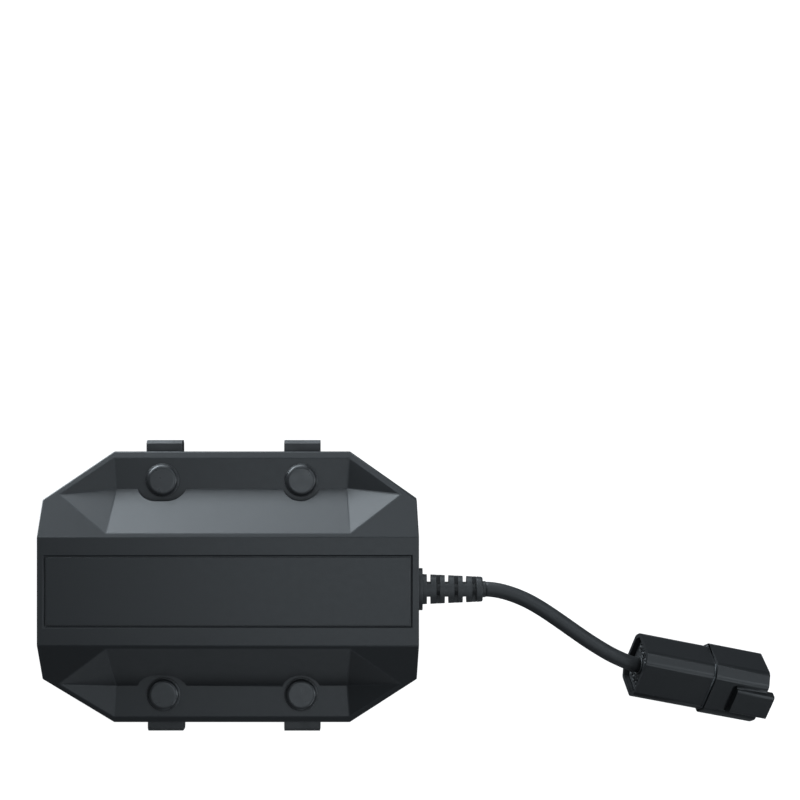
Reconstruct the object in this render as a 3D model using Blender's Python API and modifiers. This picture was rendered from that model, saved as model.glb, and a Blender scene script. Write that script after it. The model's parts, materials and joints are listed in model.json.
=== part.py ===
"""Brake controller unit: octagonal housing, clip nuts, short cable and sealed connector.

Dimensions are in millimetres and MM turns them into metres where a mesh is made. The unit
lies on its base: +Z up, +X towards the cable, origin under the middle of the housing.
"""
import math

import bmesh
import bpy
from mathutils import Matrix, Vector

MM = 0.001
GAP = 0.3                       # clearance kept between touching pieces

# Housing: an octagon with long edges along X and chamfered corners
HALF_LENGTH = 60.2
HALF_WIDTH = 43.65
EDGE_HALF = 38.0                # half length of each long edge
SIDE_HALF = 28.5                # half length of each short side
SIDE_TAPER = 0.65               # how far a short side falls back beside the roofs
HEIGHT = 28.0
RIM_Z = 11.2                    # where the roofs meet the long edges
BAND_HALF = 17.1                # flat band along the middle
SPLIT_Z = 7.4                   # top of the base tray
COVER_Z = 7.6                   # underside of the cover
TRAY_INSET = 0.5

# Pockets in the roofs
FLOOR_HALF = 37.9               # pocket floor at its outer edge
FLOOR_OUTER_Y = 41.7
FLOOR_INNER_X = 37.2
FLOOR_INNER_Y = 31.7
TIP_X = 54.5
TIP_Y = 30.2
SLOPE_TOP_X = 38.5
SLOPE_TOP_Y = 18.2

# Fixings: clip nuts with capped barrels
FIX_X = 22.4
FIX_Y = 34.5
BARREL_HOLE = 4.4
HOLE_FLOAT = 0.5                # half the extra length of the left pair's holes
SCOOP = 6.65
SCOOP_FLOAT = 1.9               # and of their scoops in the slope
LEFT_REAR_SHIFT = 0.1           # where the left barrels stand in their holes
LEFT_FRONT_SHIFT = 0.5
TAB_WIDTH = 11.6
TAB_OUTER_Y = 47.2
TAB_INNER_Y = 29.3
CLIP_FLOAT = 1.0
SHEET = 1.2
CLIP_TOP = 6.8
CLIP_BEND = 1.0
BARREL_RADIUS = 3.9
BARREL_TOP = 12.6
THREAD_RADIUS = 2.6
BOLT_ENTRY = 3.3
BOLT_HOLE = 3.5
BOLT_FLOAT = 1.2
CAP_RADIUS = 4.7
CAP_TOP = 14.4
CAP_EDGE = 1.2
BRIM_RADIUS = 5.4
BRIM_HEIGHT = 0.5

# Screws: six under the tray hold the cover, four hold the board
COVER_SCREW_X = 46.5
COVER_SCREW_Y = 31.2
MIDDLE_SCREW_Y = 35.5
SCREW_SHANK = 1.45
SCREW_HEAD = 2.75
SCREW_HEAD_Z = (0.4, 2.6)
SCREW_TIP = 10.5
SHANK_HOLE = 1.75
HEAD_HOLE = 3.1
HEAD_HOLE_TOP = 2.9
PILOT_TOP = 10.9
BOARD_SCREW_SHANK = 1.2
BOARD_SCREW_HEAD = 2.3
BOARD_SCREW_TOP = 11.2
BOARD_SCREW_TIP = 4.0

# Label plate in the flat band
LABEL_HALF_X = 58.0
LABEL_HALF_Y = 11.3
LABEL_DEPTH = 0.8
LABEL_CORNER = 0.6

# Inside of the housing
CAVITY_X = 57.3
CAVITY_Y = 25.5
CAVITY_KNEE_Z = 15.2
CAVITY_TOP_Y = 16.2
CAVITY_TOP_Z = 25.5
TRAY_X = 54.6
TRAY_Y = 24.8
TRAY_FLOOR = 2.4
SEAL_X = 57.8
SEAL_Y = 28.0
SEAL_WIDTH = 1.4
SEAL_CORNER = 4.0
SEAL_Z = 6.0
WELL_CORNER = 3.0
POST_X = 45.0
POST_Y = 18.5
POST_RADIUS = 3.0
POST_BORE = 1.5
POST_BORE_Z = 3.0

# Circuit board and what stands on it: centre, size and height of each block
BOARD_X = 50.0
BOARD_Y = 22.4
BOARD_CORNER = 2.0
BOARD_Z = 7.5
BOARD_TOP = 9.1
PART_Z = BOARD_TOP + GAP        # underside of everything on the board
TRANSISTOR_X = -33.0
TRANSISTOR_PITCH = 13.0
TRANSISTOR_Y = 14.0
TRANSISTOR_SIZE = (10.0, 9.0)
TRANSISTOR_HEIGHT = 4.5
SPREADER_X = -13.5
SPREADER_SIZE = (52.0, 11.0)
SPREADER_HEIGHT = 3.0
FIN_COUNT = 12
FIN_PITCH = 4.0
FIN_GAP = 1.6
FIN_DEPTH = 1.0
CAPACITOR_PLACES = ((-38.0, -12.0), (-26.0, -12.0), (-14.0, -12.0))
CAPACITOR_RADIUS = 5.0
CAPACITOR_HEIGHT = 12.0
CHOKE_PLACE = (3.0, -12.0)
CHOKE_RING = 5.6
CHOKE_WIRE = 2.5
SHUNT_PLACE = (34.0, -15.0)
SHUNT_WIDTH = 5.0
SHUNT_HALF = 7.0
SHUNT_FOOT = 3.0
SHUNT_RISE = 4.0
SHUNT_SHEET = 0.8
HEADER_X = 38.0
HEADER_SIZE = (7.0, 18.0)
HEADER_HEIGHT = 10.0

# Cable exit
GLAND_Z = 19.3
STUB_RADIUS = 4.0
STUB_X = 53.5
FLANGE_RADIUS = 6.75
FLANGE_X = HALF_LENGTH + GAP
BOOT_X = 61.5
BOOT_END_X = 80.6
BOOT_RADIUS = 4.8
BOOT_END_RADIUS = 3.95
BOOT_EDGE = 0.6
BOOT_CORE = 2.15
SLOT_START = 1.3
SLOT_WIDTH = 1.2
SLOT_PITCH = 5.7
SLOT_STAGGER = 3.0              # from a slot beside the core to the next above and below it
NUT_RADIUS = 5.9

# Cable and the leads inside
CABLE_DIAMETER = 4.8
CABLE_STEP = 2 * CABLE_DIAMETER
LEAD_DIAMETER = 1.1
LEAD_ROWS = (-0.8, 0.8)
LEAD_COLUMNS = (-1.6, 0.0, 1.6)
LEAD_SPREAD = 3.1               # how far the leads fan out by the header
LEAD_HEADER_Z = (13.0, 17.0)

# Connector, in its own frame: X forward along the shell, Z out of the catch's face
CONNECTOR_PLACE = (128.9, -23.8, 21.1)
CONNECTOR_YAW = -12.2
CONNECTOR_TILT = 13.8
CONNECTOR_ROLL = 25.6
SHELL_LENGTH = 41.9
SHELL_STEP = 23.7
REAR_WIDTH = 17.4
REAR_HEIGHT = 16.1
REAR_CHAMFER = 2.7
FRONT_GROWTH = 0.95
REAR_WALL = 1.3
FRONT_WALL = 1.6
SEAL_FACE = 1.6
SEAL_BACK = 7.3
SOCKET_FLOOR = 24.5
CONTACT_W = 4.5
CONTACT_N = 3.5
CAVITY_RADIUS = 1.25
CAVITY_DEPTH = 2.4
PIN_RADIUS = 0.8
PIN_TIP = 34.2
PIN_POINT = 1.2
CATCH_START = 31.4
CATCH_END = 44.2
CATCH_WIDTH = 8.8
CATCH_SHIFT = -0.2
CATCH_HEIGHT = 1.9
UNDERCUT = 1.3
WEDGE_END = 32.5
WEDGE_HALF = 6.4
WEDGE_THICKNESS = 5.0
WEDGE_EDGE = 1.4
PULLER_SLOT = 4.5
PULLER_HALF = 1.2

# Route of the cable's centre line, from the boot to the connector's seal
CABLE_ROUTE = (
    (81.15, 0.0, 19.3),
    (83.2, -0.1, 19.3),
    (85.6, -0.45, 19.4),
    (88.4, -1.15, 19.5),
    (91.6, -2.25, 19.7),
    (95.0, -3.75, 20.0),
    (98.6, -5.75, 20.4),
    (102.2, -8.05, 20.9),
    (106.0, -10.65, 21.4),
    (109.8, -13.3, 21.9),
    (113.6, -15.9, 22.3),
    (117.4, -18.3, 22.5),
    (121.0, -20.4, 22.4),
    (124.4, -22.05, 22.05),
    (127.3, -23.3, 21.5),
    (129.75, -23.98, 20.88),
)

MODEL = bpy.data.collections.new("brake_controller_unit")
CUTTERS = bpy.data.collections.new("cutters")


# ---------------------------------------------------------------- scene and materials

def clear_scene():
    for obj in list(bpy.data.objects):
        bpy.data.objects.remove(obj, do_unlink=True)
    bpy.context.scene.collection.children.link(MODEL)
    bpy.context.scene.collection.children.link(CUTTERS)


def material(name, colour, roughness, metallic=0.0):
    """A Principled material, made once for each name."""
    found = bpy.data.materials.get(name)
    if found:
        return found
    made = bpy.data.materials.new(name)
    made.use_nodes = True
    shader = made.node_tree.nodes["Principled BSDF"]
    shader.inputs["Base Color"].default_value = (*colour, 1.0)
    shader.inputs["Roughness"].default_value = roughness
    shader.inputs["Metallic"].default_value = metallic
    return made


def moulding():
    return material("moulding", (0.022, 0.024, 0.026), 0.42)


def rubber():
    return material("rubber", (0.018, 0.019, 0.020), 0.6)


def coated_steel():
    return material("coated_steel", (0.03, 0.032, 0.034), 0.4)


def shell_plastic():
    return material("shell_plastic", (0.014, 0.015, 0.016), 0.35)


def zinc_steel():
    return material("zinc_steel", (0.55, 0.55, 0.53), 0.35, 1.0)


def copper():
    return material("copper", (0.72, 0.42, 0.25), 0.35, 1.0)


def board_green():
    return material("board_green", (0.02, 0.12, 0.05), 0.5)


def chip_black():
    return material("chip_black", (0.012, 0.012, 0.013), 0.5)


def aluminium():
    return material("aluminium", (0.6, 0.61, 0.62), 0.4, 1.0)


def insulation():
    return material("insulation", (0.35, 0.05, 0.04), 0.5)


def wedge_orange():
    return material("wedge_orange", (0.45, 0.10, 0.02), 0.45)


# ---------------------------------------------------------------- shapes

def add(name, mesh, finish, parent=None):
    """A named piece of the unit."""
    obj = bpy.data.objects.new(name, mesh)
    MODEL.objects.link(obj)
    mesh.materials.clear()
    mesh.materials.append(finish)
    obj.parent = parent
    return obj


def cutter(name, mesh, parent=None):
    """A shape that only cuts or joins."""
    obj = bpy.data.objects.new(name, mesh)
    CUTTERS.objects.link(obj)
    obj.display_type = "WIRE"
    obj.hide_render = True
    obj.parent = parent
    return obj


def combine(target, tool, operation="DIFFERENCE"):
    step = target.modifiers.new(tool.name, "BOOLEAN")
    step.operation = operation
    step.solver = "EXACT"
    step.object = tool


def finish_mesh(name, shape):
    bmesh.ops.recalc_face_normals(shape, faces=shape.faces)
    bmesh.ops.scale(shape, vec=(MM, MM, MM), verts=shape.verts)
    mesh = bpy.data.meshes.new(name)
    shape.to_mesh(mesh)
    shape.free()
    return mesh


def box(name, low, high):
    """Box between two corners."""
    shape = bmesh.new()
    bmesh.ops.create_cube(shape, size=1.0)
    size = [b - a for a, b in zip(low, high)]
    middle = [(a + b) / 2 for a, b in zip(low, high)]
    bmesh.ops.scale(shape, vec=size, verts=shape.verts)
    bmesh.ops.translate(shape, vec=middle, verts=shape.verts)
    return finish_mesh(name, shape)


def cylinder(name, radius, low, high, centre=(0.0, 0.0), segments=24, along="Z"):
    """Cylinder along Z, or along X with centre giving Y and Z."""
    shape = bmesh.new()
    bmesh.ops.create_cone(shape, cap_ends=True, segments=segments, radius1=radius,
                          radius2=radius, depth=high - low)
    middle = (low + high) / 2
    if along == "X":
        turn = Matrix.Rotation(math.pi / 2, 4, "Y")
        bmesh.ops.transform(shape, matrix=turn, verts=shape.verts)
        place = (middle, centre[0], centre[1])
    else:
        place = (centre[0], centre[1], middle)
    bmesh.ops.translate(shape, vec=place, verts=shape.verts)
    return finish_mesh(name, shape)


def hull(name, points):
    """Convex solid around the points."""
    shape = bmesh.new()
    for point in points:
        shape.verts.new(point)
    bmesh.ops.convex_hull(shape, input=shape.verts)
    bmesh.ops.dissolve_limit(shape, angle_limit=math.radians(0.5), verts=shape.verts,
                             edges=shape.edges)
    return finish_mesh(name, shape)


def plate(name, outlines, low, high, turn=None):
    """Flat plate filled between closed outlines, from low to high along Z, then turned."""
    curve = bpy.data.curves.new(name, "CURVE")
    curve.dimensions = "2D"
    curve.fill_mode = "BOTH"
    curve.extrude = (high - low) / 2
    for outline in outlines:
        spline = curve.splines.new("POLY")
        spline.points.add(len(outline) - 1)
        for point, (x, y) in zip(spline.points, outline):
            point.co = (x, y, 0.0, 1.0)
        spline.use_cyclic_u = True
    holder = bpy.data.objects.new(name, curve)
    bpy.context.scene.collection.objects.link(holder)
    depsgraph = bpy.context.evaluated_depsgraph_get()
    flat = bpy.data.meshes.new_from_object(holder.evaluated_get(depsgraph))
    bpy.data.objects.remove(holder, do_unlink=True)
    shape = bmesh.new()
    shape.from_mesh(flat)
    bpy.data.meshes.remove(flat)
    bmesh.ops.remove_doubles(shape, verts=shape.verts, dist=0.001)
    bmesh.ops.dissolve_limit(shape, angle_limit=math.radians(0.5), verts=shape.verts,
                             edges=shape.edges)
    bmesh.ops.translate(shape, vec=(0.0, 0.0, (low + high) / 2), verts=shape.verts)
    if turn is not None:
        bmesh.ops.transform(shape, matrix=turn, verts=shape.verts)
    return finish_mesh(name, shape)


def turned(obj, steps):
    """Screw modifier that turns the object's profile round its Z axis."""
    screw = obj.modifiers.new("turn", "SCREW")
    screw.steps = steps
    screw.render_steps = steps
    screw.use_merge_vertices = True
    screw.merge_threshold = 0.00001
    screw.use_smooth_shade = True


def profile(name, points, closed=False):
    """Edge profile of radius and height, for a turned piece."""
    edges = [(i, i + 1) for i in range(len(points) - 1)]
    if closed:
        edges.append((len(points) - 1, 0))
    mesh = bpy.data.meshes.new(name)
    mesh.from_pydata([(r * MM, 0.0, z * MM) for r, z in points], edges, [])
    return mesh


def soften(obj, width, segments=1):
    bevel = obj.modifiers.new("edges", "BEVEL")
    bevel.width = width * MM
    bevel.segments = segments
    bevel.limit_method = "ANGLE"
    bevel.angle_limit = math.radians(40)


def mirrored(quarter):
    """Closed outline from its points in the first quarter, from near +X round to +Y."""
    points = quarter + [(-x, y) for x, y in reversed(quarter)]
    return points + [(-x, -y) for x, y in points]


def octagon(half_x, half_y, corner_x, corner_y):
    """Octagon whose chamfers run from (corner_x, half_y) to (half_x, corner_y)."""
    return mirrored([(half_x, corner_y), (corner_x, half_y)])


def housing_outline(inset=0.0):
    """Octagon whose short sides fall back a little beside the roofs."""
    return mirrored([
        (HALF_LENGTH - inset, BAND_HALF),
        (HALF_LENGTH - SIDE_TAPER - inset, SIDE_HALF),
        (EDGE_HALF, HALF_WIDTH - inset),
    ])


def rounded(half_x, half_y, radius, steps=4, centre=(0.0, 0.0)):
    """Rectangle with round corners."""
    points = []
    for corner, (sx, sy) in enumerate(((1, 1), (-1, 1), (-1, -1), (1, -1))):
        for step in range(steps + 1):
            angle = math.radians(90 * (corner + step / steps))
            x = sx * (half_x - radius) + radius * math.cos(angle)
            y = sy * (half_y - radius) + radius * math.sin(angle)
            points.append((centre[0] + x, centre[1] + y))
    return points


def roof_z(y):
    """Height of the sloped roofs at a distance from the middle."""
    fall = (HEIGHT - RIM_Z) / (HALF_WIDTH - BAND_HALF)
    return HEIGHT - fall * (abs(y) - BAND_HALF)


# ---------------------------------------------------------------- housing

def roof_cutter(side):
    over = 5.0
    points = []
    for x in (-HALF_LENGTH - over, HALF_LENGTH + over):
        for y in (BAND_HALF - over, HALF_WIDTH + over):
            points.append((x, side * y, roof_z(y)))
            points.append((x, side * y, HEIGHT + 2 * over))
    return cutter("roof_cutter", hull("roof_cutter", points))


def pocket_cutter(side):
    """The pocket: flat floor, steep inner slope and two facets at each end."""
    floor_z = roof_z(FLOOR_OUTER_Y)
    lift = 12.0
    points = []
    for end in (-1, 1):
        rim = (end * FLOOR_HALF, side * FLOOR_OUTER_Y, floor_z)
        tip = (end * TIP_X, side * TIP_Y, roof_z(TIP_Y))
        top = (end * SLOPE_TOP_X, side * SLOPE_TOP_Y, roof_z(SLOPE_TOP_Y))
        inner = (end * FLOOR_INNER_X, side * FLOOR_INNER_Y, floor_z)
        points += [rim, tip, top, inner]
        points += [(x, y, z + lift) for x, y, z in (rim, tip, top)]
    return cutter("pocket_cutter", hull("pocket_cutter", points))


def scoop_cutter(end, side):
    """Clearance round a barrel where its hole runs into the slope."""
    mesh = fixing_hole("scoop_cutter", end, side, SCOOP, SCOOP_FLOAT,
                       (roof_z(FLOOR_OUTER_Y), HEIGHT))
    return cutter("scoop_cutter", mesh)


def fixing_hole(name, end, side, radius, play, heights):
    """Round hole for a fixing on the right, and one longer by its play on the left."""
    half_x = radius + (play if end < 0 else 0.0)
    outline = rounded(half_x, radius, radius - 0.001, 8, (end * FIX_X, side * FIX_Y))
    return plate(name, [outline], *heights)


def cover_screw_places():
    corners = [(x, y) for x in (-COVER_SCREW_X, COVER_SCREW_X)
               for y in (-COVER_SCREW_Y, COVER_SCREW_Y)]
    return corners + [(0.0, -MIDDLE_SCREW_Y), (0.0, MIDDLE_SCREW_Y)]


def post_places():
    return [(x, y) for x in (-POST_X, POST_X) for y in (-POST_Y, POST_Y)]


def fix_places():
    """Each fixing: name, end, side and where its barrel stands along X in its hole."""
    return (
        ("rear_left", -1, 1, LEFT_REAR_SHIFT),
        ("front_left", -1, -1, LEFT_FRONT_SHIFT),
        ("rear_right", 1, 1, 0.0),
        ("front_right", 1, -1, 0.0),
    )


def make_top_cover():
    cover = add("top_cover", plate("top_cover", [housing_outline()], COVER_Z, HEIGHT), moulding())
    for side in (-1, 1):
        combine(cover, roof_cutter(side))
    for side in (-1, 1):
        combine(cover, pocket_cutter(side))
    for _, end, side, _ in fix_places():
        combine(cover, scoop_cutter(end, side))
        hole = fixing_hole("barrel_hole", end, side, BARREL_HOLE, HOLE_FLOAT,
                           (SPLIT_Z - 1, HEIGHT))
        combine(cover, cutter("barrel_hole", hole))
    section = []
    for x in (-CAVITY_X, CAVITY_X):
        for side in (-1, 1):
            section.append((x, side * CAVITY_Y, SPLIT_Z - 2))
            section.append((x, side * CAVITY_Y, CAVITY_KNEE_Z))
            section.append((x, side * CAVITY_TOP_Y, CAVITY_TOP_Z))
    combine(cover, cutter("cavity", hull("cavity", section)))
    recess = box("label_recess", (-LABEL_HALF_X, -LABEL_HALF_Y, HEIGHT - LABEL_DEPTH),
                 (LABEL_HALF_X, LABEL_HALF_Y, HEIGHT + 1))
    combine(cover, cutter("label_recess", recess))
    gland = cylinder("gland_hole", STUB_RADIUS + GAP, CAVITY_X - 1, HALF_LENGTH + 1,
                     (0.0, GLAND_Z), along="X")
    combine(cover, cutter("gland_hole", gland))
    for place in cover_screw_places():
        pilot = cylinder("pilot", SHANK_HOLE, SPLIT_Z - 1, PILOT_TOP, place, 16)
        combine(cover, cutter("pilot", pilot))


def make_label_plate():
    half_x = LABEL_HALF_X - 2 * GAP
    half_y = LABEL_HALF_Y - 2 * GAP
    mesh = plate("label_plate", [rounded(half_x, half_y, LABEL_CORNER, 2)],
                 HEIGHT - LABEL_DEPTH + GAP, HEIGHT)
    add("label_plate", mesh, moulding())


def seal_ring(name, low, high, clearance=0.0):
    """Rectangular ring that the seal fills, or with clearance the groove round it."""
    inner_corner = SEAL_CORNER - SEAL_WIDTH - clearance
    outer = rounded(SEAL_X + clearance, SEAL_Y + clearance, SEAL_CORNER + clearance)
    inner = rounded(SEAL_X - SEAL_WIDTH - clearance, SEAL_Y - SEAL_WIDTH - clearance, inner_corner)
    return plate(name, [outer, inner], low, high)


def make_base_tray():
    tray = add("base_tray", plate("base_tray", [housing_outline(TRAY_INSET)], 0.0, SPLIT_Z),
               moulding())
    well = plate("tray_well", [rounded(TRAY_X, TRAY_Y, WELL_CORNER)], TRAY_FLOOR, SPLIT_Z + 1)
    combine(tray, cutter("tray_well", well))
    combine(tray, cutter("seal_groove", seal_ring("seal_groove", SEAL_Z - GAP, SPLIT_Z + 1, GAP)))
    for place in post_places():
        post = cylinder("post", POST_RADIUS, TRAY_FLOOR - 1, SPLIT_Z - 0.2, place, 16)
        combine(tray, cutter("post", post), "UNION")
        bore = cylinder("post_bore", POST_BORE, POST_BORE_Z, SPLIT_Z + 1, place, 12)
        combine(tray, cutter("post_bore", bore))
    for _, end, side, _ in fix_places():
        add_fixing_slots(tray, end, side)
    for place in cover_screw_places():
        head = cylinder("counterbore", HEAD_HOLE, -1.0, HEAD_HOLE_TOP, place, 20)
        combine(tray, cutter("counterbore", head))
        shank = cylinder("shank_hole", SHANK_HOLE, HEAD_HOLE_TOP - 1, SPLIT_Z + 1, place, 16)
        combine(tray, cutter("shank_hole", shank))


def add_fixing_slots(tray, end, side):
    """Recesses above and below the web that a clip nut straddles, and the bolt's hole."""
    half = TAB_WIDTH / 2 + GAP + CLIP_FLOAT
    edges = sorted((side * (TAB_INNER_Y - GAP), side * (TAB_OUTER_Y + 1)))
    for low, high in ((-1.0, SHEET + GAP), (CLIP_TOP - SHEET - GAP, SPLIT_Z + 1)):
        recess = box("clip_recess", (end * FIX_X - half, edges[0], low),
                     (end * FIX_X + half, edges[1], high))
        combine(tray, cutter("clip_recess", recess))
    hole = fixing_hole("bolt_hole", end, side, BOLT_HOLE, BOLT_FLOAT, (0.5, SPLIT_Z))
    combine(tray, cutter("bolt_hole", hole))


def make_perimeter_seal():
    add("perimeter_seal", seal_ring("perimeter_seal", SEAL_Z, SPLIT_Z), rubber())


# ---------------------------------------------------------------- fixings

def make_clip_nut(label, end, side, shift):
    """Folded clip: a lower leg, an end bend, and an upper leg that carries the barrel."""
    frame = bpy.data.objects.new("clip_frame_" + label, None)
    MODEL.objects.link(frame)
    frame.location = ((end * FIX_X + shift) * MM, 0.0, 0.0)
    frame.rotation_euler = (0.0, 0.0, 0.0 if side > 0 else math.pi)
    outline = [
        (TAB_INNER_Y, 0.0),
        (TAB_OUTER_Y - CLIP_BEND, 0.0),
        (TAB_OUTER_Y, CLIP_BEND),
        (TAB_OUTER_Y, CLIP_TOP - CLIP_BEND),
        (TAB_OUTER_Y - CLIP_BEND, CLIP_TOP),
        (TAB_INNER_Y, CLIP_TOP),
        (TAB_INNER_Y, CLIP_TOP - SHEET),
        (TAB_OUTER_Y - SHEET, CLIP_TOP - SHEET),
        (TAB_OUTER_Y - SHEET, SHEET),
        (TAB_INNER_Y, SHEET),
    ]
    upright = Matrix.Rotation(math.pi / 2, 4, "Z") @ Matrix.Rotation(math.pi / 2, 4, "X")
    fold = plate("clip_nut", [outline], -TAB_WIDTH / 2, TAB_WIDTH / 2, upright)
    clip = add("clip_nut_" + label, fold, coated_steel(), frame)
    barrel = cylinder("barrel", BARREL_RADIUS, CLIP_TOP - SHEET / 2, BARREL_TOP, (0.0, FIX_Y))
    combine(clip, cutter("barrel", barrel, frame), "UNION")
    thread = cylinder("thread", THREAD_RADIUS, SHEET + 1, BARREL_TOP + 1, (0.0, FIX_Y), 20)
    combine(clip, cutter("thread", thread, frame))
    entry = cylinder("entry", BOLT_ENTRY, -1.0, SHEET + 1, (0.0, FIX_Y), 20)
    combine(clip, cutter("entry", entry, frame))

    floor_z = roof_z(FLOOR_OUTER_Y) + GAP
    points = [
        (0.0, CAP_TOP),
        (CAP_RADIUS - CAP_EDGE, CAP_TOP),
        (CAP_RADIUS - 0.3 * CAP_EDGE, CAP_TOP - 0.3 * CAP_EDGE),
        (CAP_RADIUS, CAP_TOP - CAP_EDGE),
        (CAP_RADIUS, floor_z + BRIM_HEIGHT),
        (BRIM_RADIUS, floor_z + BRIM_HEIGHT - 0.2),
        (BRIM_RADIUS, floor_z),
        (BARREL_RADIUS + GAP, floor_z),
        (BARREL_RADIUS + GAP, BARREL_TOP + GAP),
        (0.0, BARREL_TOP + GAP),
    ]
    cap = add("barrel_cap_" + label, profile("barrel_cap", points), rubber(), frame)
    cap.location = (0.0, FIX_Y * MM, 0.0)
    turned(cap, 32)


def make_screw(name, place, head_radius, head, shank_radius, tip, drive_up, finish):
    """Screw along Z: head between two heights, shank down or up to its tip."""
    low, high = head
    if drive_up:
        points = [(0.0, tip), (shank_radius, tip), (shank_radius, high), (head_radius, high),
                  (head_radius, low), (0.0, low)]
        socket = (low - 0.5, low + 1.2)
    else:
        points = [(0.0, high), (head_radius, high), (head_radius, low), (shank_radius, low),
                  (shank_radius, tip), (0.0, tip)]
        socket = (high - 1.0, high + 0.5)
    screw = add(name, profile(name, points), finish)
    screw.location = (place[0] * MM, place[1] * MM, 0.0)
    turned(screw, 16)
    key = cutter(name + "_key", cylinder("key", head_radius * 0.5, *socket, segments=6))
    key.location = screw.location
    combine(screw, key)


def make_screws():
    names = ("left_front", "left_rear", "right_front", "right_rear", "middle_front", "middle_rear")
    for label, place in zip(names, cover_screw_places()):
        make_screw("cover_screw_" + label, place, SCREW_HEAD, SCREW_HEAD_Z, SCREW_SHANK,
                   SCREW_TIP, True, zinc_steel())
    for label, place in zip(names, post_places()):
        make_screw("board_screw_" + label, place, BOARD_SCREW_HEAD, (PART_Z, BOARD_SCREW_TOP),
                   BOARD_SCREW_SHANK, BOARD_SCREW_TIP, False, zinc_steel())


# ---------------------------------------------------------------- electronics

def make_circuit_board():
    outline = rounded(BOARD_X, BOARD_Y, BOARD_CORNER)
    board = add("circuit_board", plate("circuit_board", [outline], BOARD_Z, BOARD_TOP),
                board_green())
    for place in post_places():
        hole = cylinder("board_hole", POST_BORE, BOARD_Z - 1, BOARD_TOP + 1, place, 16)
        combine(board, cutter("board_hole", hole))


def make_block(name, centre, size, height, finish, edge=0.5, base=PART_Z):
    low = (centre[0] - size[0] / 2, centre[1] - size[1] / 2, base)
    high = (centre[0] + size[0] / 2, centre[1] + size[1] / 2, base + height)
    block = add(name, box(name, low, high), finish)
    soften(block, edge)
    return block


def make_power_stage():
    for index in range(4):
        centre = (TRANSISTOR_X + TRANSISTOR_PITCH * index, TRANSISTOR_Y)
        make_block("power_transistor_%d" % (index + 1), centre, TRANSISTOR_SIZE,
                   TRANSISTOR_HEIGHT, chip_black())
    base = PART_Z + TRANSISTOR_HEIGHT + GAP
    top = base + SPREADER_HEIGHT
    bar = make_block("heat_spreader", (SPREADER_X, TRANSISTOR_Y), SPREADER_SIZE, SPREADER_HEIGHT,
                     aluminium(), base=base)
    for index in range(FIN_COUNT):
        x = SPREADER_X + FIN_PITCH * (index - (FIN_COUNT - 1) / 2)
        groove = box("fin_groove",
                     (x - FIN_GAP / 2, TRANSISTOR_Y - SPREADER_SIZE[1], top - FIN_DEPTH),
                     (x + FIN_GAP / 2, TRANSISTOR_Y + SPREADER_SIZE[1], top + 1))
        combine(bar, cutter("fin_groove", groove))


def make_capacitors():
    radius = CAPACITOR_RADIUS
    top = PART_Z + CAPACITOR_HEIGHT
    points = [(0.0, top), (radius - 0.6, top), (radius, top - 0.6), (radius, PART_Z + 2.6),
              (radius - 0.5, PART_Z + 2.0), (radius, PART_Z + 1.4), (radius, PART_Z),
              (0.0, PART_Z)]
    for index, (x, y) in enumerate(CAPACITOR_PLACES):
        can = add("capacitor_%d" % (index + 1), profile("capacitor", points), aluminium())
        can.location = (x * MM, y * MM, 0.0)
        turned(can, 20)


def make_choke():
    """Wound ring standing flat on the board."""
    points = []
    for step in range(10):
        angle = -2 * math.pi * step / 10
        points.append((CHOKE_RING + CHOKE_WIRE * math.cos(angle),
                       PART_Z + CHOKE_WIRE + CHOKE_WIRE * math.sin(angle)))
    choke = add("choke", profile("choke", points, closed=True), copper())
    choke.location = (CHOKE_PLACE[0] * MM, CHOKE_PLACE[1] * MM, 0.0)
    turned(choke, 24)


def make_current_shunt():
    """Flat strap bent into a bridge."""
    inner = SHUNT_HALF - SHUNT_FOOT
    outer = inner + SHUNT_SHEET
    half = [(outer, SHUNT_RISE), (outer, SHUNT_SHEET), (SHUNT_HALF, SHUNT_SHEET),
            (SHUNT_HALF, 0.0), (inner, 0.0), (inner, SHUNT_RISE - SHUNT_SHEET)]
    outline = half + [(-x, z) for x, z in reversed(half)]
    upright = Matrix.Rotation(math.pi / 2, 4, "X")
    strap = add("current_shunt",
                plate("current_shunt", [outline], -SHUNT_WIDTH / 2, SHUNT_WIDTH / 2, upright),
                copper())
    strap.location = (SHUNT_PLACE[0] * MM, SHUNT_PLACE[1] * MM, PART_Z * MM)


def make_board_parts():
    make_power_stage()
    make_capacitors()
    make_choke()
    make_current_shunt()
    make_block("processor", (20.0, -8.0), (12.0, 12.0), 1.4, chip_black(), 0.3)
    make_block("inertia_sensor", (20.0, 8.0), (5.0, 5.0), 1.1, chip_black(), 0.2)
    make_block("fuse", (30.0, 14.0), (12.0, 4.6), 9.0, insulation(), 0.6)
    make_block("wire_header", (HEADER_X, 0.0), HEADER_SIZE, HEADER_HEIGHT, chip_black(), 0.6)


def make_leads():
    """Conductors from the strain relief's inner end to the header."""
    index = 0
    for row, dz in enumerate(LEAD_ROWS):
        for dy in LEAD_COLUMNS:
            index += 1
            start = Vector((STUB_X - GAP, dy, GLAND_Z + dz))
            end = Vector((HEADER_X + HEADER_SIZE[0] / 2 + GAP, dy * LEAD_SPREAD,
                          LEAD_HEADER_Z[row]))
            points = []
            for step in range(9):
                t = step / 8
                ease = t * t * (3 - 2 * t)
                x = start.x + (end.x - start.x) * t
                points.append((x, start.y + (end.y - start.y) * ease,
                               start.z + (end.z - start.z) * ease))
            make_tube("lead_%d" % index, points, LEAD_DIAMETER, insulation(), 1)


# ---------------------------------------------------------------- cable

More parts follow.
